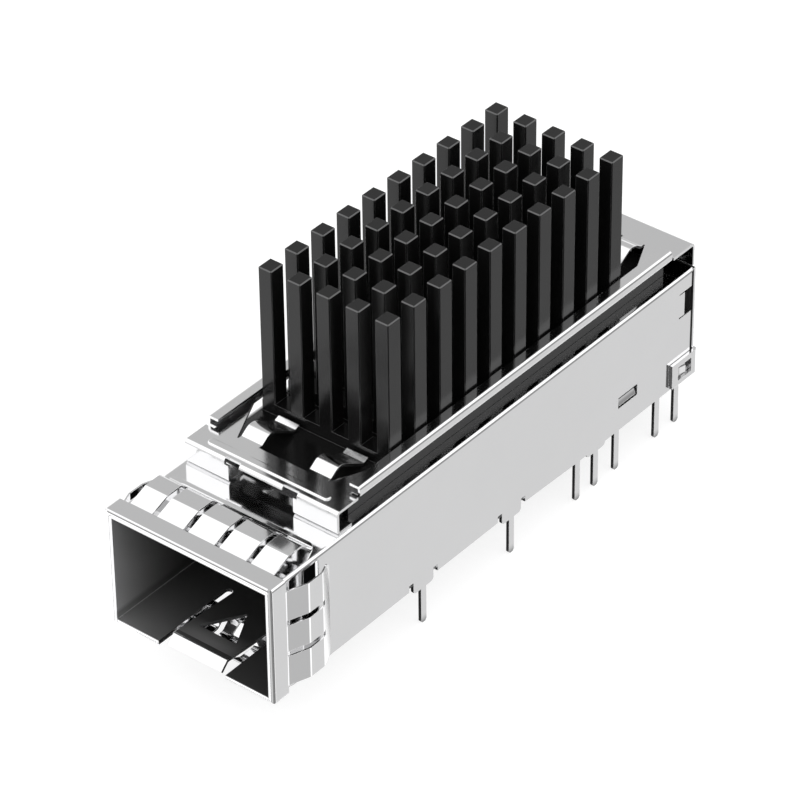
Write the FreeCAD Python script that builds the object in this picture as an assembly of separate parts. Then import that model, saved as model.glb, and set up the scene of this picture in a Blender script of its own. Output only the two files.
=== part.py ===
import FreeCAD, Part
import math
import os
from FreeCAD import Vector

# Frame: X across the cage, -Y out of the module opening, +Z up.
# Z = 0 is the top of the circuit board that the cage stands on.
# Y = 0 is half way along the cage.  All sizes are millimetres.

# Folded cage
sheet = 0.25
cage_width = 14.0
cage_height = 9.2
cage_length = 48.3
standoff = 0.5
bend = 0.15
wall_setback = 0.45
rear_wall_inset = 0.12
slip = 0.02

# Window in the cage roof, which follows the heat sink that passes through it
roof_window_corner = 0.8

# Slots in the side walls behind the spring fingers
side_slot_start = 3.66
side_slot_width = 1.5
side_slot_height = 3.6
side_slot_drop = 0.35

# Tab lanced out of the rear edge of each side wall and bent inward
stop_tab_height = 2.2
stop_tab_drop = 1.4
stop_tab_length = 1.0
stop_tab_slit = 0.65
stop_slit_width = 0.12
stop_tab_angle = 65.0

# Lower edge of the side walls, which dips towards the rear
skirt_start = 28.0
skirt_full = 34.0
skirt_drop = 0.2

# Press-fit board pins: the front feet are placed from the front, the rest from the rear
pin_width = 0.57
pin_depth = 3.05
pin_tip = 0.18
front_feet = (16.4, 26.37)
rear_foot = 12.0
rear_pins = (14.18, 9.5, 4.55, 2.15)
shoulder_width = 2.2
notch_width = 0.48
notch_height = 0.55

# Rear ears that wrap the side walls
ear_length = 3.1
ear_height = 2.05
ear_window_length = 1.65
ear_window_height = 1.2
ear_window_setback = 0.75
ear_window_rise = 0.4
ear_gap = 0.03
hook_reach = 0.26
hook_length = 0.95

# Floor of the cage, open at the rear for the connector
connector_length = 13.7
arm_length = 7.6
arm_width = 1.7
flap_height = 3.4
flap_length = 4.2
latch_window_length = 2.3
latch_window_place = 8.22
latch_window_height = 0.96
latch_window_rise = 1.75
latch_tang_reach = 0.22
latch_tang_inset = 0.15

# Latch tongue in the floor
tongue_width = 4.8
tongue_slit = 0.6
tongue_hinge = 7.3
tongue_rise = 0.45
tongue_front = 0.95
lip_front = 0.3
lip_drop = 0.62
tongue_bend = 0.3
latch_hole_width = 3.4
latch_hole_length = 3.2
latch_hole_front = 2.65
latch_hole_corner = 0.12

# Collar of spring fingers round the front
spring_sheet = 0.12
hem = 0.35
lower_hem = 0.13
collar_length = 1.45
collar_corner = 0.22
finger_crest = 0.92
crest_start = 3.1
crest_end = 4.5
finger_slit = 0.44
bar_corner = 0.6
roof_finger_inset = 0.7
roof_finger_pitch = 2.75
roof_fingers = 5
roof_bar_start = 5.1
roof_bar_length = 0.5
roof_finger_reach = 5.9
side_finger_low = 0.65
side_finger_high = 0.55
side_finger_pitch = 2.6
side_fingers = 3
side_bar_start = 4.8
side_bar_lift = 0.42
side_finger_reach = 5.75
finger_bend = 0.5
tongue_cutout = 2.3

# Heat sink
pin_size_x = 1.165
pin_size_y = 1.33
pin_pitch_x = 2.535
pin_pitch_y = 2.767
pin_clearance = 0.15
pin_height = 11.07
pin_chamfer = 0.07
block_height = 0.9
cross_slot_depth = 1.05
ledge_height = 0.93
ledge_inset = 0.94
ledge_front_gap = 2.27
ledge_rear_gap = 2.51
front_step = 4.66
rear_step = 4.9
roof_overlap = 2.15
roof_side_overlap = 0.68
pedestal_clearance = 0.25
pedestal_reach = 0.35
sink_rest = 0.02

# Spring clip
clip_sheet = 0.2
clip_start = 7.62
clip_inset = 0.28
clip_height = 1.9
clip_bend = 0.2
foot_length = 1.4
foot_rest = 0.02
leg_gap = 5.7
leg_relief = 1.3
leg_relief_step = 0.35
leg_relief_depth = 0.3
window_front_margin = 2.4
window_rear_margin = 2.43
window_side_margin = 0.87
window_corner = 1.8
window_chamfer = 3.9
rail_front_margin = 2.45
rail_rear_margin = 2.78
rail_gap = 0.48
rail_flange = 0.92
rail_bend = 0.15
relief_slot = 0.22
relief_reach = 0.75
arm_inner = 2.11
arm_outer = 3.95
arm_rise = 0.35
arm_crest_place = 1.35
arm_crest_height = 0.68
arm_crest_bend = 0.9
arm_touch_place = 3.7
arm_touch_bend = 0.35
arm_tip_place = 4.3
arm_tip_height = 0.22
bead_inset = 1.37
bead_width = 0.65
bead_height = 0.12
bead_place = 0.95

# Places that follow from the sizes
front = -cage_length / 2
rear = cage_length / 2
cage_bottom = standoff
cage_top = standoff + cage_height
half_cage = cage_width / 2
wall_end = rear - wall_setback
connector_front = rear - connector_length
arm_end = connector_front + arm_length
clip_front = front + clip_start
clip_width = cage_width - 2 * clip_inset
window_front = clip_front + window_front_margin
window_rear = rear - window_rear_margin
window_half = clip_width / 2 - window_side_margin
ledge_half = clip_width / 2 - ledge_inset
ledge_front = clip_front + ledge_front_gap
ledge_rear = rear - ledge_rear_gap
ledge_top = cage_top + sink_rest + ledge_height
block_top = ledge_top + block_height
clip_top = cage_top + foot_rest + clip_height
array_front = ledge_front + front_step
pins_across = 1 + int((2 * (window_half - pin_clearance) - pin_size_x) / pin_pitch_x)
pins_along = 1 + int((ledge_rear - rear_step - array_front - pin_size_y) / pin_pitch_y)
array_x = (pins_across - 1) * pin_pitch_x + pin_size_x
array_y = (pins_along - 1) * pin_pitch_y + pin_size_y


def across(u, v):
    """Point of a section seen from the front."""
    return Vector(u, 0, v)


def along(u, v):
    """Point of a section seen from the side."""
    return Vector(0, u, v)


def plan(u, v):
    """Point of an outline seen from above."""
    return Vector(u, v, 0)


def box(x0, x1, y0, y1, z0, z1):
    return Part.makeBox(x1 - x0, y1 - y0, z1 - z0, Vector(x0, y0, z0))


def mirrored(shape):
    """The other hand of a shape, across the cage's middle plane."""
    return shape.mirror(Vector(0, 0, 0), Vector(1, 0, 0))


def both_sides(shape):
    return [shape, mirrored(shape)]


def edges_along(shape, axis):
    """Straight edges of a shape that run along an axis."""
    found = []
    for edge in shape.Edges:
        run = edge.Vertexes[-1].Point - edge.Vertexes[0].Point
        if run.Length > 0 and abs(abs(run.dot(axis)) / run.Length - 1) < 1e-6:
            found.append(edge)
    return found


def rounded_box(x0, x1, y0, y1, z0, z1, radius, axis):
    """Box whose four edges along one axis are rounded."""
    block = box(x0, x1, y0, y1, z0, z1)
    return block.makeFillet(radius, edges_along(block, axis))


def polygon(points, place):
    """Flat face inside a closed outline."""
    corners = [place(u, v) for u, v in points]
    return Part.Face(Part.makePolygon(corners + corners[:1]))


def bend_arc(before, corner, after, radius):
    """Where a bent middle line leaves its straights, and the bend's centre."""
    came = (corner - before).normalize()
    goes = (after - corner).normalize()
    turn = math.atan2(came.x * goes.y - came.y * goes.x, came.dot(goes))
    setback = radius * math.tan(abs(turn) / 2)
    start = corner - came * setback
    end = corner + goes * setback
    hand = 1 if turn > 0 else -1
    centre = start + Vector(-came.y, came.x, 0) * (radius * hand)
    return start, end, centre, hand


def skin(points, offset, radii):
    """Edges of one skin of a bent sheet, at a distance left of its middle line."""
    way = [Vector(u, v, 0) for u, v in points]
    first = (way[1] - way[0]).normalize()
    last = (way[-1] - way[-2]).normalize()
    here = way[0] + Vector(-first.y, first.x, 0) * offset
    pieces = []
    for before, corner, after, radius in zip(way, way[1:], way[2:], radii):
        start, end, centre, hand = bend_arc(before, corner, after, radius)
        size = radius - hand * offset
        middle = (corner - centre).normalize() * size + centre
        one = centre + (start - centre) * (size / radius)
        two = centre + (end - centre) * (size / radius)
        pieces.append((here, one))
        pieces.append((one, middle, two))
        here = two
    pieces.append((here, way[-1] + Vector(-last.y, last.x, 0) * offset))
    return pieces


def bent_sheet(points, thickness, radius, place, depth):
    """Sheet of one thickness folded along a middle line and drawn out sideways."""
    radii = radius if isinstance(radius, list) else [radius] * (len(points) - 2)
    left = skin(points, thickness / 2, radii)
    right = skin(points, -thickness / 2, radii)
    outline = left + [(left[-1][-1], right[-1][-1])]
    outline += right + [(left[0][0], right[0][0])]
    edges = []
    for piece in outline:
        spots = [place(spot.x, spot.y) for spot in piece]
        if len(spots) == 3:
            edges.append(Part.Arc(*spots).toShape())
        elif (spots[1] - spots[0]).Length > 1e-7:
            edges.append(Part.makeLine(*spots))
    wire = Part.Wire(Part.__sortEdges__(edges))
    return Part.Face(wire).extrude(depth)


def cage_tube():
    """Roof and side walls, folded from one strip."""
    half = half_cage - sheet / 2
    top = cage_top - sheet / 2
    section = [(-half, cage_bottom), (-half, top), (half, top), (half, cage_bottom)]
    tube = bent_sheet(section, sheet, bend, across, Vector(0, wall_end - front, 0))
    return tube.translate(Vector(0, front, 0))


def rear_wall():
    """Wall folded down from the roof to close the rear."""
    back = rear - sheet / 2
    top = cage_top - sheet / 2
    section = [(wall_end - 1, top), (back, top), (back, cage_bottom)]
    half = half_cage - rear_wall_inset
    wall = bent_sheet(section, sheet, bend, along, Vector(2 * half, 0, 0))
    wall.translate(Vector(-half, 0, 0))
    outline = rounded_box(-half, half, wall_end, rear, 0, cage_top, bend, Vector(0, 1, 0))
    return wall.common(outline)


def ear():
    """Ear of the rear wall, wrapped forward outside the side wall."""
    side = half_cage + ear_gap + sheet / 2
    back = rear - sheet / 2
    section = [(half_cage - 4 * sheet, back), (side, back), (side, rear - ear_length)]
    wrap = bent_sheet(section, sheet, bend, plan, Vector(0, 0, ear_height))
    wrap.translate(Vector(0, 0, cage_bottom))
    back_edge = rear - ear_window_setback
    window = box(half_cage - sheet, half_cage + 1,
                 back_edge - ear_window_length, back_edge,
                 cage_bottom + ear_window_rise,
                 cage_bottom + ear_window_rise + ear_window_height)
    return wrap.cut(window)


def board_pin(y, top):
    """One press-fit pin, punched from the wall with a pointed tip."""
    half = pin_width / 2
    outline = [(y - half, top), (y - half, -pin_depth + pin_tip), (y - half / 2, -pin_depth),
               (y + half / 2, -pin_depth), (y + half, -pin_depth + pin_tip), (y + half, top)]
    pin = polygon(outline, along).extrude(Vector(sheet, 0, 0))
    return pin.translate(Vector(half_cage - sheet, 0, 0))


def shoulder(y):
    """Foot of the wall that stands on the board, with its pin."""
    inner = half_cage - sheet
    half = shoulder_width / 2
    foot = rounded_box(inner, half_cage, y - half, y + half,
                       0, cage_bottom + notch_height + sheet, standoff * 0.6, Vector(1, 0, 0))
    return foot.fuse(board_pin(y, cage_bottom))


def skirt():
    """Strip that carries the lower edge of one side wall down towards the rear."""
    top = cage_bottom + sheet
    low = cage_bottom - skirt_drop
    outline = [(front + skirt_start, top), (front + skirt_start, cage_bottom),
               (front + skirt_full, low), (wall_end, low), (wall_end, top)]
    strip = polygon(outline, along).extrude(Vector(sheet, 0, 0))
    return strip.translate(Vector(half_cage - sheet, 0, 0))


def shoulder_notches(y):
    """Reliefs cut up into the wall on both sides of a foot."""
    half = shoulder_width / 2
    cuts = []
    for start in (y - half - notch_width, y + half):
        cuts.append(box(half_cage - 2 * sheet, half_cage + sheet, start, start + notch_width,
                        0, cage_bottom + notch_height))
    return cuts


def side_openings():
    """Slots, latch window and rear cut-out in one side wall."""
    inner = half_cage - 2 * sheet
    outer = half_cage + sheet
    slot_top = cage_top - side_slot_drop
    start = front + side_slot_start
    cuts = [box(inner, outer, start, start + side_slot_width,
                slot_top - side_slot_height, slot_top)]
    start, level = latch_place()
    cuts.append(box(inner, outer, start, start + latch_window_length,
                    level, level + latch_window_height))
    top = cage_top - stop_tab_drop
    cuts.append(box(inner, outer, wall_end - stop_tab_length, wall_end + 1,
                    top - stop_tab_height, top))
    for level in (top - stop_slit_width, top - stop_tab_height):
        cuts.append(box(inner, outer, wall_end - stop_tab_length - stop_tab_slit, wall_end + 1,
                        level, level + stop_slit_width))
    return cuts


def latch_place():
    """Front edge and lower edge of the window that the floor's tang snaps into."""
    middle = rear - latch_window_place
    return middle - latch_window_length / 2, cage_bottom + latch_window_rise


def stop_tab():
    """Tab at the rear edge of the side wall, bent inward."""
    middle = half_cage - sheet / 2
    hinge = wall_end - stop_tab_length
    angle = math.radians(stop_tab_angle)
    end = (middle - stop_tab_length * math.sin(angle), hinge + stop_tab_length * math.cos(angle))
    section = [(middle, hinge - stop_tab_slit / 2), (middle, hinge), end]
    height = stop_tab_height - 2 * stop_slit_width
    tab = bent_sheet(section, sheet, bend, plan, Vector(0, 0, height))
    return tab.translate(Vector(0, 0, cage_top - stop_tab_drop - stop_tab_height + stop_slit_width))


def ear_hook():
    """Tang lanced outward from the side wall through the ear's window."""
    start = rear - ear_window_setback - ear_window_length + slip
    level = cage_bottom + ear_window_rise + ear_window_height / 4
    section = [(half_cage - sheet, start), (half_cage, start),
               (half_cage + hook_reach, start + hook_length),
               (half_cage + hook_reach - sheet / 2, start + hook_length)]
    hook = polygon(section, plan).extrude(Vector(0, 0, ear_window_height / 2))
    return hook.translate(Vector(0, 0, level))


def roof_window():
    """Opening in the roof that the heat sink's pedestal passes through."""
    half = ledge_half - roof_side_overlap
    return rounded_box(-half, half, ledge_front + roof_overlap, ledge_rear - roof_overlap,
                       cage_top - 2 * sheet, cage_top + sheet, roof_window_corner,
                       Vector(0, 0, 1))


def cage_shell():
    """Roof, side walls, rear wall, ears, stop tabs and board pins, all one sheet."""
    cuts = [roof_window()]
    added = [rear_wall()]
    for shape in (ear(), stop_tab(), ear_hook(), skirt(), shoulder(rear - rear_foot)):
        added += both_sides(shape)
    for cut in side_openings():
        cuts += both_sides(cut)
    for y in front_feet:
        for notch in shoulder_notches(front + y):
            cuts += both_sides(notch)
        added += both_sides(shoulder(front + y))
    for y in rear_pins:
        added += both_sides(board_pin(rear - y, cage_bottom + sheet))
    return cage_tube().cut(cuts).fuse(added).removeSplitter()


def latch_tongue():
    """Springy tongue of the floor, sloping up to the front with a turned-down lip."""
    level = cage_bottom + sheet / 2
    tip = level + tongue_rise
    section = [(front + tongue_hinge + tongue_slit, level),
               (front + tongue_hinge, level),
               (front + tongue_front, tip),
               (front + lip_front, tip - lip_drop)]
    tongue = bent_sheet(section, sheet, tongue_bend, along, Vector(tongue_width, 0, 0))
    return tongue.translate(Vector(-tongue_width / 2, 0, 0))


def latch_hole():
    """Three-cornered hole that the module's latch post drops into."""
    half = latch_hole_width / 2
    start = front + latch_hole_front
    outline = [(-half, start), (half, start), (0, start + latch_hole_length)]
    hole = polygon(outline, plan).extrude(Vector(0, 0, cage_height))
    hole.translate(Vector(0, 0, cage_bottom - standoff))
    return hole.makeFillet(latch_hole_corner, edges_along(hole, Vector(0, 0, 1)))


def tongue_opening():
    """Cut-out of the floor that leaves a slit each side of the tongue."""
    half = tongue_width / 2 + tongue_slit
    end = front + tongue_hinge
    opening = box(-half, half, front - 1, end, cage_bottom - 1, cage_bottom + 1)
    middle = box(-tongue_width / 2, tongue_width / 2, end - tongue_slit, end + 1,
                 cage_bottom - 1, cage_bottom + 1)
    opening = opening.cut(middle)
    corners = [edge for edge in edges_along(opening, Vector(0, 0, 1))
               if edge.Vertexes[0].Point.y > end - 1e-6]
    return opening.makeFillet(tongue_slit / 2 - 0.01, corners)


def floor_flap():
    """Side flap folded up inside the wall, with a tang lanced outward."""
    half = half_cage - sheet - slip
    level = cage_bottom + sheet / 2
    section = [(half - arm_width, level), (half - sheet / 2, level),
               (half - sheet / 2, cage_bottom + flap_height)]
    flap = bent_sheet(section, sheet, bend, across, Vector(0, flap_length, 0))
    flap.translate(Vector(0, arm_end - flap_length, 0))
    start, level = latch_place()
    lower = level + latch_tang_inset
    upper = level + latch_window_height - latch_tang_inset
    wedge = [(half - sheet, upper), (half, upper), (half + latch_tang_reach, lower),
             (half + latch_tang_reach - sheet, lower)]
    tang = polygon(wedge, across)
    length = latch_window_length - 2 * latch_tang_inset
    tang = tang.extrude(Vector(0, length, 0)).translate(Vector(0, start + latch_tang_inset, 0))
    return flap.fuse(tang)


def cage_base():
    """Floor with its latch tongue, rear arms and side flaps, all one sheet."""
    half = half_cage - sheet - slip
    top = cage_bottom + sheet
    plate = box(-half, half, front, connector_front, cage_bottom, top)
    plate = plate.cut(tongue_opening()).fuse(latch_tongue()).cut(latch_hole())
    inner = half - arm_width
    start = connector_front - sheet
    arms = both_sides(box(inner, half - bend - sheet, start, arm_end, cage_bottom, top))
    links = both_sides(box(inner, half, start, arm_end - flap_length - tongue_slit,
                           cage_bottom, top))
    return plate.fuse(arms + links + both_sides(floor_flap())).removeSplitter()


def collar_band():
    """Hemmed band that clips round the front of the cage."""
    reach = half_cage + slip
    low = cage_bottom - slip
    high = cage_top + slip
    outer = rounded_box(-reach - hem, reach + hem, front, front + collar_length,
                        low - lower_hem, high + hem, collar_corner, Vector(0, 1, 0))
    inner = box(-reach, reach, front - 1, front + collar_length + 1, low, high)
    upper = [edge for edge in edges_along(inner, Vector(0, 1, 0))
             if edge.BoundBox.ZMin > low + 1e-6]
    inner = inner.makeFillet(bend + sheet / 2, upper)
    lead = [edge for edge in outer.Edges
            if abs(edge.BoundBox.YMax - front) < 1e-6]
    return outer.makeFillet(lower_hem * 0.8, lead).cut(inner)


def roof_section(band):
    """Middle line of a finger whose bar lies on the wall: distance back, height off the wall."""
    level = slip + spring_sheet / 2
    return finger_root(band) + [(crest_end, finger_crest),
                                (roof_finger_reach - roof_bar_length, level),
                                (roof_finger_reach, level)]


def side_section(band):
    """Middle line of a finger whose bar stands off the wall."""
    return finger_root(band) + [(crest_end, finger_crest), (side_finger_reach, side_bar_lift)]


def finger_root(band):
    """Start of a finger, from inside the collar's band up to its crest."""
    root = slip + band - spring_sheet / 2
    return [(collar_length / 2, root), (collar_length, root), (crest_start, finger_crest)]


def finger_row(section, span, pitch, count, bar_start):
    """Row of fingers on a wall whose outer face is Z = 0, joined by a bar behind."""
    reach = section[-1][0]
    row = bent_sheet(section, spring_sheet, finger_bend, along, Vector(span, 0, 0))
    row.translate(Vector(-span / 2, 0, 0))
    outline = rounded_box(-span / 2, span / 2, -reach, reach, -1, 2 * finger_crest,
                          bar_corner, Vector(0, 0, 1))
    row = row.common(outline)
    cuts = []
    for i in range(1, count):
        x = (i - count / 2) * pitch
        cuts.append(box(x - finger_slit / 2, x + finger_slit / 2,
                        collar_length, bar_start, -1, 2 * finger_crest))
    return row.cut(cuts)


def placed_row(row, turn, shift):
    """A finger row turned about Y onto its wall."""
    shape = row.copy()
    shape.rotate(Vector(0, 0, 0), Vector(0, 1, 0), turn)
    return shape.translate(shift + Vector(0, front, 0))


def finger_collar():
    """Band with a row of spring fingers on each of the four walls."""
    span = cage_width - 2 * roof_finger_inset
    upper = finger_row(roof_section(hem), span, roof_finger_pitch, roof_fingers, roof_bar_start)
    lower = finger_row(roof_section(lower_hem), span, roof_finger_pitch, roof_fingers,
                       roof_bar_start)
    low = cage_bottom + side_finger_low
    high = cage_top - side_finger_high
    side = finger_row(side_section(hem), high - low, side_finger_pitch, side_fingers,
                      side_bar_start)
    middle = (low + high) / 2
    rows = [placed_row(upper, 0, Vector(0, 0, cage_top)),
            placed_row(side, 90, Vector(half_cage, 0, middle)),
            placed_row(side, -90, Vector(-half_cage, 0, middle)),
            placed_row(lower, 180, Vector(0, 0, cage_bottom))]
    half = tongue_width / 2 + tongue_slit
    cutout = box(-half, half, front - 1, front + tongue_cutout,
                 cage_bottom - 2 * finger_crest, cage_bottom - slip / 2)
    return collar_band().fuse(rows).cut(cutout).removeSplitter()


def pin_row_front(j):
    """Front face of a row of pins."""
    return array_front + j * pin_pitch_y


def cross_slots():
    """Sawn slots across the base between the rows of pins."""
    slots = []
    for j in range(pins_along - 1):
        start = pin_row_front(j) + pin_size_y
        slots.append(box(-ledge_half, ledge_half, start, pin_row_front(j + 1),
                         block_top - cross_slot_depth, block_top))
    return slots


def sink_pins():
    """Square array of pins."""
    half_x = pin_size_x / 2
    half_y = pin_size_y / 2
    top = block_top + pin_height
    pin = box(-half_x, half_x, -half_y, half_y, block_top - pin_chamfer, top)
    pin = pin.makeChamfer(pin_chamfer, [edge for edge in pin.Edges if edge.BoundBox.ZMax > top - 1e-6])
    pins = []
    for i in range(pins_across):
        for j in range(pins_along):
            x = (i - (pins_across - 1) / 2) * pin_pitch_x
            y = pin_row_front(j) + pin_size_y / 2
            pins.append(pin.copy().translate(Vector(x, y, 0)))
    return pins


def heat_sink():
    """Stepped base with a pedestal below, slots sawn across it and the pins above."""
    half = array_x / 2
    low = cage_top + sink_rest
    ledge = box(-ledge_half, ledge_half, ledge_front, ledge_rear, low, ledge_top)
    block = box(-half, half, array_front, array_front + array_y, low, block_top)
    across_half = ledge_half - roof_side_overlap - pedestal_clearance
    inset = roof_overlap + pedestal_clearance
    pedestal = rounded_box(-across_half, across_half, ledge_front + inset, ledge_rear - inset,
                           cage_top - sheet - pedestal_reach, ledge_top, roof_window_corner,
                           Vector(0, 0, 1))
    base = ledge.fuse([block, pedestal]).cut(cross_slots())
    return base.fuse(sink_pins()).removeSplitter()


def clip_loop():
    """Plate, end walls and front feet of the clip, folded as one strip."""
    face = clip_front + clip_sheet / 2
    top = clip_top - clip_sheet / 2
    low = cage_top + foot_rest
    section = [(face + foot_length, low + clip_sheet / 2), (face, low + clip_sheet / 2),
               (face, top), (rear - clip_sheet / 2, top), (rear - clip_sheet / 2, low)]
    loop = bent_sheet(section, clip_sheet, clip_bend, along, Vector(clip_width, 0, 0))
    return loop.translate(Vector(-clip_width / 2, 0, 0))


def clip_window():
    """Chamfered window of the plate, through which the pins stand."""
    end = window_half - window_corner
    middle = (window_front + window_rear) / 2
    reach = (window_rear - window_front) / 2
    outline = []
    for sx, sy in ((1, 1), (1, -1), (-1, -1), (-1, 1)):
        corner = [(sx * end, sy * reach), (sx * window_half, sy * (reach - window_chamfer))]
        outline += corner if sx * sy > 0 else corner[::-1]
    window = polygon(outline, plan).extrude(Vector(0, 0, 4 * clip_sheet))
    return window.translate(Vector(0, middle, clip_top - 2 * clip_sheet))


def leg_cuts():
    """Gap between the legs at the front end, with a relief at each side of it."""
    bottom = cage_top - sheet
    bend_end = clip_top - clip_bend - clip_sheet / 2
    gap = box(-leg_gap / 2, leg_gap / 2, clip_front - 1, clip_front + 2 * foot_length,
              bottom, bend_end)
    outer = leg_gap / 2 + leg_relief_step
    relief = box(outer - leg_relief, outer, clip_front - 1, clip_front + leg_relief_depth,
                 bend_end - clip_bend, clip_top + 1)
    return [gap] + both_sides(relief)


def rail_span():
    """Front and rear end of a rail."""
    return clip_front + rail_front_margin, rear - rail_rear_margin


def rail_cut():
    """Side of the plate cleared for a rail, with a relief slot at each end."""
    start, end = rail_span()
    inner = clip_width / 2 - clip_sheet / 2 - clip_bend
    low = clip_top - 2 * clip_sheet
    high = clip_top + 2 * clip_sheet
    side = box(inner, clip_width, start, end, low, high)
    slots = []
    for y in (start - relief_slot, end):
        slots.append(box(clip_width / 2 - relief_reach, clip_width, y, y + relief_slot, low, high))
    return side.fuse(slots)


def rail():
    """Stiffening rail, with the edge of the plate folded up and back inward."""
    side = (clip_width - clip_sheet) / 2
    low = clip_top - clip_sheet / 2
    high = low + rail_gap + clip_sheet
    inner = side - clip_bend - clip_sheet
    section = [(inner, low), (side, low), (side, high), (side - rail_flange + clip_sheet / 2, high)]
    start, end = rail_span()
    shape = bent_sheet(section, clip_sheet, rail_bend, across, Vector(0, end - start, 0))
    return shape.translate(Vector(0, start, 0))


def clip_arm():
    """Spring arm that bows up from the window's edge and presses on the ledge."""
    root = window_front
    level = clip_top - clip_sheet / 2
    touch = ledge_top + slip + clip_sheet / 2
    section = [(root - clip_sheet, level), (root + arm_rise, level),
               (root + arm_crest_place, level + arm_crest_height),
               (root + arm_touch_place, touch),
               (root + arm_tip_place, touch + arm_tip_height)]
    bends = [clip_bend, arm_crest_bend, arm_touch_bend]
    arm = bent_sheet(section, clip_sheet, bends, along, Vector(arm_outer - arm_inner, 0, 0))
    return arm.translate(Vector(arm_inner, 0, 0))


def clip_arms():
    """Four spring arms, two at each end of the window."""
    pair = both_sides(clip_arm())
    middle = (window_front + window_rear) / 2
    return pair + [arm.mirror(Vector(0, middle, 0), Vector(0, 1, 0)) for arm in pair]


def bead():
    """Stiffening bead pressed up across the front of the plate."""
    y = clip_front + bead_place
    half = bead_width / 2
    reach = clip_width / 2 - bead_inset
    ridge = rounded_box(-reach, reach, y - half, y + half,
                        clip_top - clip_sheet / 2, clip_top + bead_height, half * 0.98,
                        Vector(0, 0, 1))
    crest = [edge for edge in ridge.Edges
             if abs(edge.BoundBox.ZMin - clip_top - bead_height) < 1e-6]
    return ridge.makeFillet(bead_height * 0.9, crest)


def retaining_clip():
    """Folded spring clip that holds the heat sink down on the cage."""
    cuts = [clip_window()] + leg_cuts() + both_sides(rail_cut())
    added = both_sides(rail()) + clip_arms() + [bead()]
    return clip_loop().cut(cuts).fuse(added).removeSplitter()


def main():
    os.makedirs("parts", exist_ok=True)
    nodes = {
        "cage_shell": cage_shell(),
        "cage_base": cage_base(),
        "finger_collar": finger_collar(),
        "heat_sink": heat_sink(),
        "retaining_clip": retaining_clip(),
    }
    for name, shape in nodes.items():
        print(name, len(shape.Solids), shape.isValid(), round(shape.Volume, 2))
        shape.exportStep("parts/" + name + ".step")


main()
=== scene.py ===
import math

import bmesh
import bpy
import numpy as np
from mathutils import Matrix, Vector


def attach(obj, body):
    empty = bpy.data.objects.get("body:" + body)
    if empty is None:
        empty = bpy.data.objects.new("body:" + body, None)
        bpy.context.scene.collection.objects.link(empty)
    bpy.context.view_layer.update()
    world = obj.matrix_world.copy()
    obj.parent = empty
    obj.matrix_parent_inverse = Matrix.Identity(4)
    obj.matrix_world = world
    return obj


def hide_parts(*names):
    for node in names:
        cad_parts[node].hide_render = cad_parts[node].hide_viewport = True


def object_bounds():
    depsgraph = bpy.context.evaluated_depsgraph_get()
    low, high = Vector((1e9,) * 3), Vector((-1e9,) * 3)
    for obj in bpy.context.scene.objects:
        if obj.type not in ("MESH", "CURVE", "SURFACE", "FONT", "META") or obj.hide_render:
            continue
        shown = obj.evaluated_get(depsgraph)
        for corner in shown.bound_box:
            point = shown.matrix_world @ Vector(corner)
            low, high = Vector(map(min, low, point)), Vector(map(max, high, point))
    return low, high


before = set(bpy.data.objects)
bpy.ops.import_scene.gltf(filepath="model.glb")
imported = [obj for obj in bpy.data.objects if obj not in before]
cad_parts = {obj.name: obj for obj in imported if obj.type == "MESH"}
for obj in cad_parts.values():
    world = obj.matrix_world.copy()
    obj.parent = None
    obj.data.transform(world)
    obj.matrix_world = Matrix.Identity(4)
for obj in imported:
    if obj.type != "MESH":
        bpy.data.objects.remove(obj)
box_of_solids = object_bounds()

# Folded cage: roof, side walls, rear wall, ears and board pins, stamped from
# one strip of tin-plated copper alloy and folded, with bright rolled faces.
# It stands on the circuit board by its feet and is held there by its pins.
MM = 0.001


def add_node(tree, kind, values=None, settings=None):
    """A shader node with some of its sockets and settings filled in."""
    made = tree.nodes.new(kind)
    for name, value in (settings or {}).items():
        setattr(made, name, value)
    for name, value in (values or {}).items():
        socket = made.inputs[name]
        if isinstance(value, bpy.types.NodeSocket):
            tree.links.new(value, socket)
        else:
            socket.default_value = value
    return made


def combined(tree, one, other, operation="MULTIPLY"):
    """Two values joined by an operation; the product of masks is where both hold."""
    return add_node(tree, "ShaderNodeMath", {0: one, 1: other},
                    {"operation": operation}).outputs[0]


def ramped(tree, value, low, high, below=0.0, above=1.0, kind="LINEAR"):
    """A value that goes from below to above while another goes from low to high."""
    return add_node(tree, "ShaderNodeMapRange",
                    {"Value": value, "From Min": low, "From Max": high,
                     "To Min": below, "To Max": above},
                    {"interpolation_type": kind}).outputs[0]


def new_group(name, takes, gives):
    """An empty shader node group with named inputs and outputs, and its two ends."""
    group = bpy.data.node_groups.new(name, "ShaderNodeTree")
    for label, kind, value in takes:
        socket = group.interface.new_socket(label, in_out="INPUT", socket_type=kind)
        socket.default_value = value
    for label, kind in gives:
        group.interface.new_socket(label, in_out="OUTPUT", socket_type=kind)
    return group, group.nodes.new("NodeGroupInput"), group.nodes.new("NodeGroupOutput")


def rolled_sheet_group():
    """Rolling marks and plating clouds.

    Noise on Object coordinates is drawn out many times along Y for the marks,
    and left even in all directions for the clouds of the plating.
    """
    group, start, end = new_group(
        "rolled sheet",
        [("Grain size", "NodeSocketFloat", 9000.0), ("Cloud size", "NodeSocketFloat", 220.0)],
        [("Marks", "NodeSocketFloat"), ("Clouds", "NodeSocketFloat")])
    spot = add_node(group, "ShaderNodeTexCoord").outputs["Object"]
    drawn = add_node(group, "ShaderNodeMapping", {"Vector": spot, "Scale": (1.0, 0.04, 1.0)})
    marks = add_node(group, "ShaderNodeTexNoise",
                     {"Vector": drawn.outputs[0], "Scale": start.outputs["Grain size"],
                      "Detail": 3.0})
    clouds = add_node(group, "ShaderNodeTexNoise",
                      {"Vector": spot, "Scale": start.outputs["Cloud size"],
                       "Detail": 4.0, "Roughness": 0.6})
    group.links.new(marks.outputs[0], end.inputs["Marks"])
    group.links.new(clouds.outputs[0], end.inputs["Clouds"])
    return group


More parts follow.
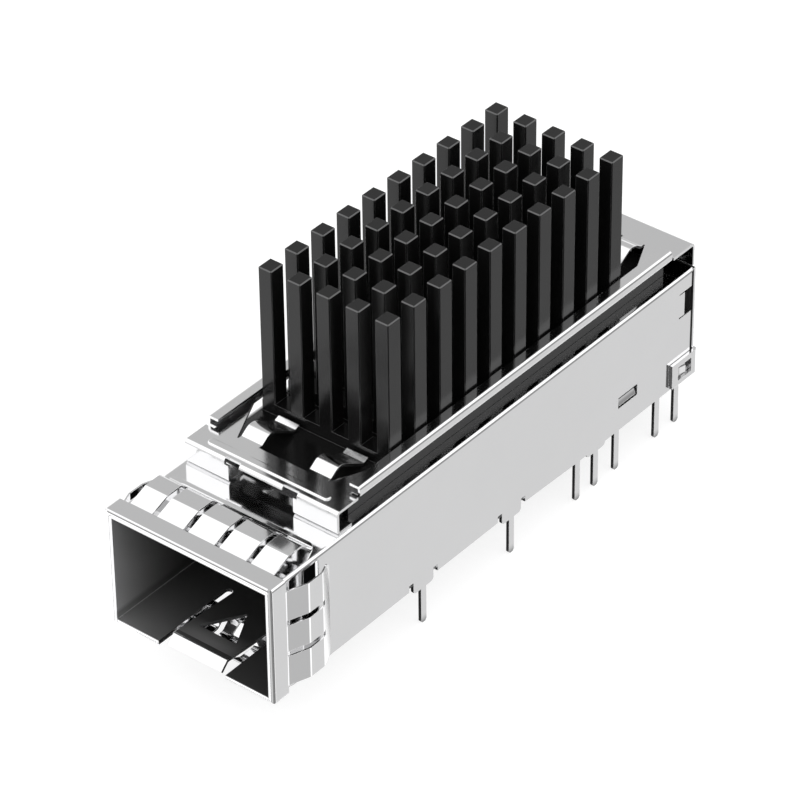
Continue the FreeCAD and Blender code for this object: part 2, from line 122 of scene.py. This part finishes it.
def broken_edge_group():
    """Edges broken by a small radius.

    The normal is rounded over the given radius, and the mask is how far the
    rounded normal leans from the flat one, so it is 1 along the edges only.
    """
    group, start, end = new_group(
        "broken edges",
        [("Radius", "NodeSocketFloat", 0.04 * MM), ("Sharpness", "NodeSocketFloat", 0.12)],
        [("Normal", "NodeSocketVector"), ("Edge", "NodeSocketFloat")])
    rounded = add_node(group, "ShaderNodeBevel", {"Radius": start.outputs["Radius"]},
                       {"samples": 6})
    flat = add_node(group, "ShaderNodeNewGeometry").outputs["Normal"]
    along_flat = add_node(group, "ShaderNodeVectorMath", {0: rounded.outputs[0], 1: flat},
                          {"operation": "DOT_PRODUCT"}).outputs["Value"]
    lean = combined(group, 1.0, along_flat, "SUBTRACT")
    group.links.new(rounded.outputs[0], end.inputs["Normal"])
    group.links.new(ramped(group, lean, 0.01, start.outputs["Sharpness"]), end.inputs["Edge"])
    return group


ROLLED_SHEET = rolled_sheet_group()
BROKEN_EDGES = broken_edge_group()


def new_material(name):
    """A material with only a Principled shader and its output."""
    material = bpy.data.materials.new(name)
    material.use_nodes = True
    return material, material.node_tree, material.node_tree.nodes["Principled BSDF"]


def mixed(tree, factor, one, other):
    """A colour between two colours, by a factor."""
    mix = add_node(tree, "ShaderNodeMix", settings={"data_type": "RGBA"})
    tree.links.new(factor, mix.inputs[0])
    for place, colour in ((6, one), (7, other)):
        if isinstance(colour, bpy.types.NodeSocket):
            tree.links.new(colour, mix.inputs[place])
        else:
            mix.inputs[place].default_value = colour
    return mix.outputs[2]


def grey(value):
    """A grey that is a trace bluer than neutral, as plated metal is."""
    return (value, value, value * 1.006, 1.0)


def finish_sheet(tree, shader, grain, edge_radius, roughness, relief, cloud_size=220.0):
    """Rolling marks in roughness and bump, under edges broken by a radius.

    Gives the cloud mask and the edge mask for the colour, and the roughness.
    """
    sheet = add_node(tree, "ShaderNodeGroup", settings={"node_tree": ROLLED_SHEET})
    sheet.inputs["Grain size"].default_value = grain
    sheet.inputs["Cloud size"].default_value = cloud_size
    edges = add_node(tree, "ShaderNodeGroup", settings={"node_tree": BROKEN_EDGES})
    edges.inputs["Radius"].default_value = edge_radius
    rub = ramped(tree, sheet.outputs["Marks"], 0.3, 0.7, *roughness)
    bump = add_node(tree, "ShaderNodeBump",
                    {"Height": sheet.outputs["Marks"], "Strength": relief,
                     "Distance": 0.01 * MM, "Normal": edges.outputs["Normal"]})
    tree.links.new(rub, shader.inputs["Roughness"])
    tree.links.new(bump.outputs[0], shader.inputs["Normal"])
    return sheet.outputs["Clouds"], edges.outputs["Edge"], rub


def bright_sheet(name, roughness, grain, edge_radius):
    """Bright rolled metal: its material, tree and shader, its tone and its roughness."""
    material, tree, shader = new_material(name)
    clouds, _, rub = finish_sheet(tree, shader, grain, edge_radius, roughness, relief=0.004)
    tone = mixed(tree, clouds, grey(0.88), grey(0.92))
    tree.links.new(tone, shader.inputs["Base Color"])
    shader.inputs["Metallic"].default_value = 1.0
    return material, tree, shader, tone, rub


def flat_region_areas(triangles, normals, areas):
    """Area of the flat region that each triangle is part of.

    Neighbours whose normals differ by less than half a degree are joined.
    """
    count = len(triangles)
    ends = np.stack([triangles, np.roll(triangles, -1, 1)], 2).reshape(-1, 2)
    ends.sort(axis=1)
    order = np.lexsort((ends[:, 1], ends[:, 0]))
    shared = (ends[order][1:] == ends[order][:-1]).all(1)
    one, other = order[1:][shared] // 3, order[:-1][shared] // 3
    level = (normals[one] * normals[other]).sum(1) > math.cos(math.radians(0.5))
    one, other = one[level], other[level]
    region = np.arange(count)
    while True:
        lower = np.minimum(region[one], region[other])
        joined = region.copy()
        np.minimum.at(joined, one, lower)
        np.minimum.at(joined, other, lower)
        joined = joined[joined]
        if (joined == region).all():
            return np.bincount(region, areas, count)[region]
        region = joined


def corner_normals(mesh, limit):
    """Normals that leave flats flat and make bends round.

    A corner takes the sum of n * A * w over the triangles at its vertex that
    lean from its own triangle by less than the limit, where n is a triangle's
    normal, A the area of its flat region and w its angle at the vertex.
    """
    corners = np.empty(len(mesh.loops), np.int32)
    mesh.loops.foreach_get("vertex_index", corners)
    places = np.empty(3 * len(mesh.vertices))
    mesh.vertices.foreach_get("co", places)
    triangles = corners.reshape(-1, 3)
    sides = places.reshape(-1, 3)[np.roll(triangles, -1, 1)] - places.reshape(-1, 3)[triangles]
    normals = np.cross(sides[:, 0], sides[:, 1])
    areas = np.linalg.norm(normals, axis=1)
    normals /= np.maximum(areas, 1e-20)[:, None]
    weights = flat_region_areas(triangles, normals, areas)
    sides /= np.maximum(np.linalg.norm(sides, axis=2), 1e-20)[:, :, None]
    angles = np.arccos(np.clip(-(sides * np.roll(sides, 1, 1)).sum(2), -1.0, 1.0)).ravel()
    order = np.argsort(corners, kind="stable")
    sizes = np.bincount(corners)
    each = sizes[corners[order]]
    start = (np.cumsum(sizes) - sizes)[corners[order]]
    step = np.arange(each.sum()) - np.repeat(np.cumsum(each) - each, each)
    mine = np.repeat(order, each)
    theirs = order[np.repeat(start, each) + step]
    near = (normals[mine // 3] * normals[theirs // 3]).sum(1) > math.cos(limit)
    mine, theirs = mine[near], theirs[near]
    pull = (weights[theirs // 3] * angles[theirs])[:, None] * normals[theirs // 3]
    total = np.stack([np.bincount(mine, pull[:, axis], len(corners)) for axis in range(3)], 1)
    return total / np.maximum(np.linalg.norm(total, axis=1), 1e-30)[:, None]


def smooth_copy(node, name, material):
    """The solid of a node, merged from its loose triangles, with smooth bends."""
    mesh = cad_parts[node].data.copy()
    work = bmesh.new()
    work.from_mesh(mesh)
    bmesh.ops.remove_doubles(work, verts=work.verts, dist=0.0005 * MM)
    work.to_mesh(mesh)
    work.free()
    mesh.shade_smooth()
    mesh.normals_split_custom_set(corner_normals(mesh, math.radians(32)).tolist())
    mesh.materials.clear()
    mesh.materials.append(material)
    piece = bpy.data.objects.new(name, mesh)
    bpy.context.scene.collection.objects.link(piece)
    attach(piece, "root")
    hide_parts(node)
    return piece


def place_on_part(tree):
    """X, Y and Z of the shaded spot in the part's frame, as named outputs."""
    spot = add_node(tree, "ShaderNodeTexCoord").outputs["Object"]
    return add_node(tree, "ShaderNodeSeparateXYZ", {"Vector": spot}).outputs


def in_box(tree, place, **limits):
    """1 between all the limits, which are in millimetres along X, Y and Z, else 0.

    The limits named sides bound the distance from the middle plane, so that
    they hold on the left and on the right.
    """
    mask = 1.0
    for axis, (low, high) in limits.items():
        if axis == "sides":
            value = combined(tree, place["X"], 0.0, "ABSOLUTE")
        else:
            value = place[axis]
        between = add_node(tree, "ShaderNodeMath",
                           {0: value, 1: (low + high) / 2 * MM, 2: (high - low) / 2 * MM},
                           {"operation": "COMPARE"})
        mask = combined(tree, mask, between.outputs[0])
    return mask


def painted_inside_light(tree, place):
    """Painted light inside the cage, from 0 deep inside, which is painted shade, to 1.

    It is lightest at the left front, where the product of two slopes is
    squared, and weaker on the floor. The front of the latch tongue has a painted
    highlight that falls off with the square of X, and the fold of the left wall a
    painted highlight line.
    """
    left_front = combined(tree, ramped(tree, place["Y"], -15.0 * MM, -23.9 * MM),
                          ramped(tree, place["X"], 3.0 * MM, -6.8 * MM))
    left_front = combined(tree, combined(tree, left_front, 2.0, "POWER"),
                          ramped(tree, place["Z"], 1.2 * MM, 1.6 * MM, 0.45, 1.0))
    painted_tongue_highlight = combined(
        tree, ramped(tree, place["Y"], -20.6 * MM, -22.3 * MM, 0.0, 0.45),
        ramped(tree, combined(tree, place["X"], place["X"]), 0.0, (3.0 * MM) ** 2, 1.0, 0.2))
    tongue = in_box(tree, place, Y=(-22.8, -20.5), X=(-2.5, 2.5), Z=(0.7, 1.3))
    painted_fold_line = in_box(tree, place, X=(-6.8, -6.7), Z=(0.7, 0.8))
    lightness = combined(tree, left_front, combined(tree, tongue, painted_tongue_highlight), "ADD")
    return combined(tree, lightness, combined(tree, painted_fold_line, 0.5), "ADD")


def plate_cage(tree, shader, tone, rub):
    """Bright plating outside, rougher and less metallic inside, with painted shade inside, in
    the rear seams, under the clip and in the ear windows, and painted light near the mouth.
    """
    place = place_on_part(tree)
    # Painted shade: near black and not metallic in the rear seams between the side walls and the
    # rear wall, and under the clip's rear leg.
    rear_seam_shade = in_box(tree, place, Z=(0.7, 9.5), Y=(23.52, 23.95), sides=(6.7, 7.02))
    shade_under_rear_leg = in_box(tree, place, Z=(9.6, 9.8), Y=(23.8, 24.02))
    seam_shade = combined(tree, rear_seam_shade, shade_under_rear_leg, "MAXIMUM")
    cavity = in_box(tree, place, Z=(0.7, 9.5), X=(-6.8, 6.8), Y=(-24.2, 23.95))
    tongue_lip = in_box(tree, place, X=(-2.5, 2.5), Y=(-24.1, -23.15), Z=(0.0, 1.25))
    dull_and_shaded = combined(tree, combined(tree, cavity, tongue_lip, "SUBTRACT"), seam_shade, "MAXIMUM")
    # Painted shade: grey on the roof under the clip and in the ear windows.
    shade_under_clip = in_box(tree, place, Z=(9.6, 9.8), X=(-6.72, 6.72), Y=(-14.5, 24.0))
    shade_in_ear_window = in_box(tree, place, Z=(0.9, 2.1), Y=(21.75, 23.4), sides=(6.95, 7.27))
    shaded = combined(tree, shade_under_clip, shade_in_ear_window, "MAXIMUM")
    outside_tone = mixed(tree, shaded, tone, grey(0.6))
    # Painted light and shade inside: dark deep inside, lighter toward the left front of the
    # mouth, with painted highlights on the tongue and the left wall's fold.
    inside_painted_light = mixed(tree, painted_inside_light(tree, place), grey(0.12), grey(0.95))
    dull_and_shaded_tone = mixed(tree, seam_shade, inside_painted_light, grey(0.01))
    rougher = combined(tree, ramped(tree, dull_and_shaded, 0.0, 1.0, rub, 0.4), seam_shade, "MAXIMUM")
    metal = combined(tree, ramped(tree, dull_and_shaded, 0.0, 1.0, 1.0, 0.75),
                     combined(tree, 1.0, seam_shade, "SUBTRACT"))
    tree.links.new(mixed(tree, dull_and_shaded, outside_tone, dull_and_shaded_tone), shader.inputs["Base Color"])
    tree.links.new(rougher, shader.inputs["Roughness"])
    tree.links.new(metal, shader.inputs["Metallic"])


plated_sheet, *wiring = bright_sheet("plated sheet", roughness=(0.07, 0.1), grain=9000.0,
                                     edge_radius=0.045 * MM)
plate_cage(*wiring)
smooth_copy("cage_shell", "folded_cage", plated_sheet)

# Floor of the cage: a second stamping with the latch tongue, the two rear
# arms and their flaps, snapped into the side walls by its tangs.
smooth_copy("cage_base", "cage_floor", plated_sheet)

# Shielding collar: a hemmed band of thin plated spring sheet pushed over the
# mouth, with rows of sprung fingers that touch the panel cut-out. On the band's
# front edge the line of the hem and its inner layer are painted greys, a painted
# reflection, on the right side and along the top only.
spring_sheet, tree, shader, tone, _ = bright_sheet(
    "spring sheet", roughness=(0.06, 0.09), grain=11000.0, edge_radius=0.035 * MM)
place = place_on_part(tree)
front_edge = (-24.2, -24.06)
painted_hem_line = combined(tree, in_box(tree, place, Y=front_edge, X=(7.19, 7.32)),
                    in_box(tree, place, Y=front_edge, X=(-7.1, 7.1), Z=(9.84, 9.95)), "MAXIMUM")
inner_layer_painted_grey = in_box(tree, place, Y=front_edge, X=(7.0, 7.2))
tree.links.new(mixed(tree, painted_hem_line, mixed(tree, inner_layer_painted_grey, tone, grey(0.45)), grey(0.18)),
               shader.inputs["Base Color"])
smooth_copy("finger_collar", "spring_finger_collar", spring_sheet)

# Heat sink: one piece of aluminium with square pins, anodised black, whose
# sharp edges are lighter, partly as wear showing the bare metal and partly as a
# painted highlight.


def black_anodised():
    """Dark dyed oxide under a clear seal, lighter along every edge, partly as wear and partly as
    a painted highlight, with a painted highlight on the chamfers that face +X or -Y.

    The chamfers at the pin tops are found by their slanting normals: Z times
    the greater of X and -Y.
    """
    material, tree, shader = new_material("black anodised aluminium")
    clouds, edges, _ = finish_sheet(tree, shader, 5000.0, 0.035 * MM, (0.2, 0.24),
                                    relief=0.03, cloud_size=400.0)
    facing = add_node(tree, "ShaderNodeSeparateXYZ",
                      {"Vector": add_node(tree, "ShaderNodeTexCoord").outputs["Normal"]}).outputs
    sideways = combined(tree, facing["X"], combined(tree, facing["Y"], -1.0), "MAXIMUM")
    # Painted highlight: only the chamfers that lean toward +X or -Y are lighter.
    painted_chamfer_highlight = ramped(tree, combined(tree, facing["Z"], sideways), 0.3, 0.45)
    dye = mixed(tree, clouds, grey(0.004), grey(0.008))
    # Lighter along every edge, partly as wear and partly as a painted highlight.
    worn_and_highlit = mixed(tree, edges, dye, grey(0.14))
    tree.links.new(mixed(tree, painted_chamfer_highlight, worn_and_highlit, grey(0.13)), shader.inputs["Base Color"])
    shader.inputs["IOR"].default_value = 1.42
    return material


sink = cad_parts["heat_sink"]
sink.data.materials.clear()
sink.data.materials.append(black_anodised())

# Retaining clip: bright stainless spring sheet folded into a loop over the
# cage, with four bowed arms that press the heat sink down on the roof.
clip_sheet, tree, shader, tone, _ = bright_sheet(
    "clip sheet", roughness=(0.11, 0.15), grain=8000.0, edge_radius=0.045 * MM)
# Painted shade: dark grey on the clip behind its rear leg.
shade_behind_rear_leg = in_box(tree, place_on_part(tree), Y=(22.0, 23.98), Z=(9.6, 11.3))
tree.links.new(mixed(tree, shade_behind_rear_leg, tone, grey(0.12)), shader.inputs["Base Color"])
smooth_copy("retaining_clip", "spring_clip", clip_sheet)

# Plain pale floor that the pin tips touch. Reflections see it only close to
# the part and look past it further off, as over a light table.
lowest = box_of_solids[0][2]
reach = 1.5
floor_mesh = bpy.data.meshes.new("floor")
floor_mesh.from_pydata([(-reach, -reach, lowest), (reach, -reach, lowest),
                        (reach, reach, lowest), (-reach, reach, lowest)], [], [(0, 1, 2, 3)])
floor = bpy.data.objects.new("floor", floor_mesh)
bpy.context.scene.collection.objects.link(floor)
floor_paint, tree, shader = new_material("pale floor")
shader.inputs["Roughness"].default_value = 0.9
shader.inputs["Specular IOR Level"].default_value = 0.0
shader.inputs["Emission Color"].default_value = (1.0, 1.0, 1.0, 1.0)
ray = add_node(tree, "ShaderNodeLightPath").outputs
# Painted shade: to glossy rays the floor near the part is near black, so reflections see a dark
# floor under the part.
tree.links.new(mixed(tree, ray["Is Glossy Ray"], grey(0.3), grey(0.05)),
               shader.inputs["Base Color"])
tree.links.new(combined(tree, ray["Is Camera Ray"], 0.82), shader.inputs["Emission Strength"])
beyond = add_node(tree, "ShaderNodeTexCoord").outputs["Object"]
footprint = (6.6 * MM, 24.0 * MM, 1.0)
for operation, other in (("ABSOLUTE", (0.0, 0.0, 0.0)), ("SUBTRACT", footprint),
                         ("MAXIMUM", (0.0, 0.0, 0.0))):
    beyond = add_node(tree, "ShaderNodeVectorMath", {0: beyond, 1: other},
                      {"operation": operation}).outputs[0]
distance = add_node(tree, "ShaderNodeVectorMath", {0: beyond},
                    {"operation": "LENGTH"}).outputs["Value"]
far = ramped(tree, distance, 0.0, 1.0 * MM, kind="SMOOTHSTEP")
through = add_node(tree, "ShaderNodeMixShader",
                   {0: combined(tree, ray["Is Glossy Ray"], far), 1: shader.outputs[0],
                    2: add_node(tree, "ShaderNodeBsdfTransparent").outputs[0]})
tree.links.new(through.outputs[0], tree.nodes["Material Output"].inputs["Surface"])
floor_mesh.materials.append(floor_paint)

# Studio light: a bright dome with a grey panel high behind on the left, a
# faint strip along the horizon on the left, and low on the right a grey wall
# that darkens towards the front, with one bright patch on it.
world = bpy.data.worlds.new("studio")
bpy.context.scene.world = world
world.use_nodes = True
sky = world.node_tree
sky.nodes.clear()
toward = add_node(sky, "ShaderNodeTexCoord").outputs["Generated"]


def eased(value, low, high):
    """Smooth step of a value from 0 at low to 1 at high."""
    return ramped(sky, value, low, high, kind="SMOOTHSTEP")


def patch(axis, edge, core):
    """Round patch of directions, by the cosine from an axis at its edge and core."""
    cosine = add_node(sky, "ShaderNodeVectorMath", {0: toward, 1: Vector(axis).normalized()},
                      {"operation": "DOT_PRODUCT"})
    return eased(cosine.outputs["Value"], edge, core)


def lit(level, other, *masks):
    """Light level that turns into another where all the masks hold."""
    mask = masks[0]
    for further in masks[1:]:
        mask = combined(sky, mask, further)
    return ramped(sky, mask, 0.0, 1.0, level, other)


direction = add_node(sky, "ShaderNodeSeparateXYZ", {"Vector": toward}).outputs
upward, backward = direction["Z"], direction["Y"]
downward = combined(sky, upward, -1.0)
forward = combined(sky, backward, -1.0)
leftward = eased(direction["X"], 0.1, -0.2)
rightward = eased(direction["X"], 0.15, 0.45)
low_right = combined(sky, rightward, eased(downward, 0.25, 0.45))

# The wall on the right is lighter at its foot, and that begins higher up on
# its front half than on its rear half.
dome, wall_top, wall_foot = 1.25, 0.3, 0.69
wall = lit(lit(wall_top, wall_foot, eased(downward, -0.1, 0.56)),
           lit(wall_top, wall_foot, eased(downward, 0.3, 0.54)), eased(backward, 0.3, 0.5))

# In this order: the panel that the roof reflects, the ceiling, the strip on
# the left, the wall on the right, its middle, its front, its bright patch, and
# the backdrop that the camera sees.
level = lit(dome, 0.535, patch((-0.51, 0.626, 0.59), 0.84, 0.95))
level = lit(level, 0.78, patch((0.0, 0.0, 1.0), 0.9, 0.97))
level = lit(level, 0.8, leftward, eased(upward, 0.14, 0.04), eased(downward, 0.5, 0.42))
level = lit(level, wall, rightward, eased(upward, 0.36, 0.2))
level = lit(level, 0.52, low_right, eased(forward, -0.3, -0.12))
level = lit(level, 0.1, low_right, eased(forward, 0.1, 0.35))
level = lit(level, dome, low_right, patch((0.7, 0.41, -0.59), 0.975, 0.992))
level = lit(level, 0.93, add_node(sky, "ShaderNodeLightPath").outputs["Is Camera Ray"])
light = add_node(sky, "ShaderNodeBackground", {"Strength": level})
light.inputs["Color"].default_value = (1.0, 1.0, 1.0, 1.0)
add_node(sky, "ShaderNodeOutputWorld", {"Surface": light.outputs[0]})

# Camera, solved from the photograph: a long lens from the front right, above.
# Its place is the aim seen from an offset along its own three axes.
photo_width = 800
focal_pixels = 4600.7
turn = math.radians(39.175)
tilt = math.radians(36.2045)
roll = math.radians(-0.7003)
aim = Vector((0.0, -0.03, 5.5))
offset = Vector((0.9578, -2.3933, 323.934))
ahead = -Vector((math.sin(turn) * math.cos(tilt),
                 -math.cos(turn) * math.cos(tilt),
                 math.sin(tilt)))
level_right = Vector((math.cos(turn), math.sin(turn), 0.0))
level_up = level_right.cross(ahead)
right = math.cos(roll) * level_right + math.sin(roll) * level_up
up = -math.sin(roll) * level_right + math.cos(roll) * level_up
stand = (aim - offset.x * right - offset.y * up - offset.z * ahead) * MM
lens = bpy.data.cameras.new("camera")
lens.sensor_width = 36.0
lens.lens = focal_pixels / photo_width * lens.sensor_width
lens.clip_start = 0.01
camera = bpy.data.objects.new("camera", lens)
bpy.context.scene.collection.objects.link(camera)
camera.matrix_world = Matrix((
    (right.x, up.x, -ahead.x, stand.x),
    (right.y, up.y, -ahead.y, stand.y),
    (right.z, up.z, -ahead.z, stand.z),
    (0.0, 0.0, 0.0, 1.0)))
bpy.context.scene.camera = camera
bpy.context.scene.view_settings.view_transform = "Standard"
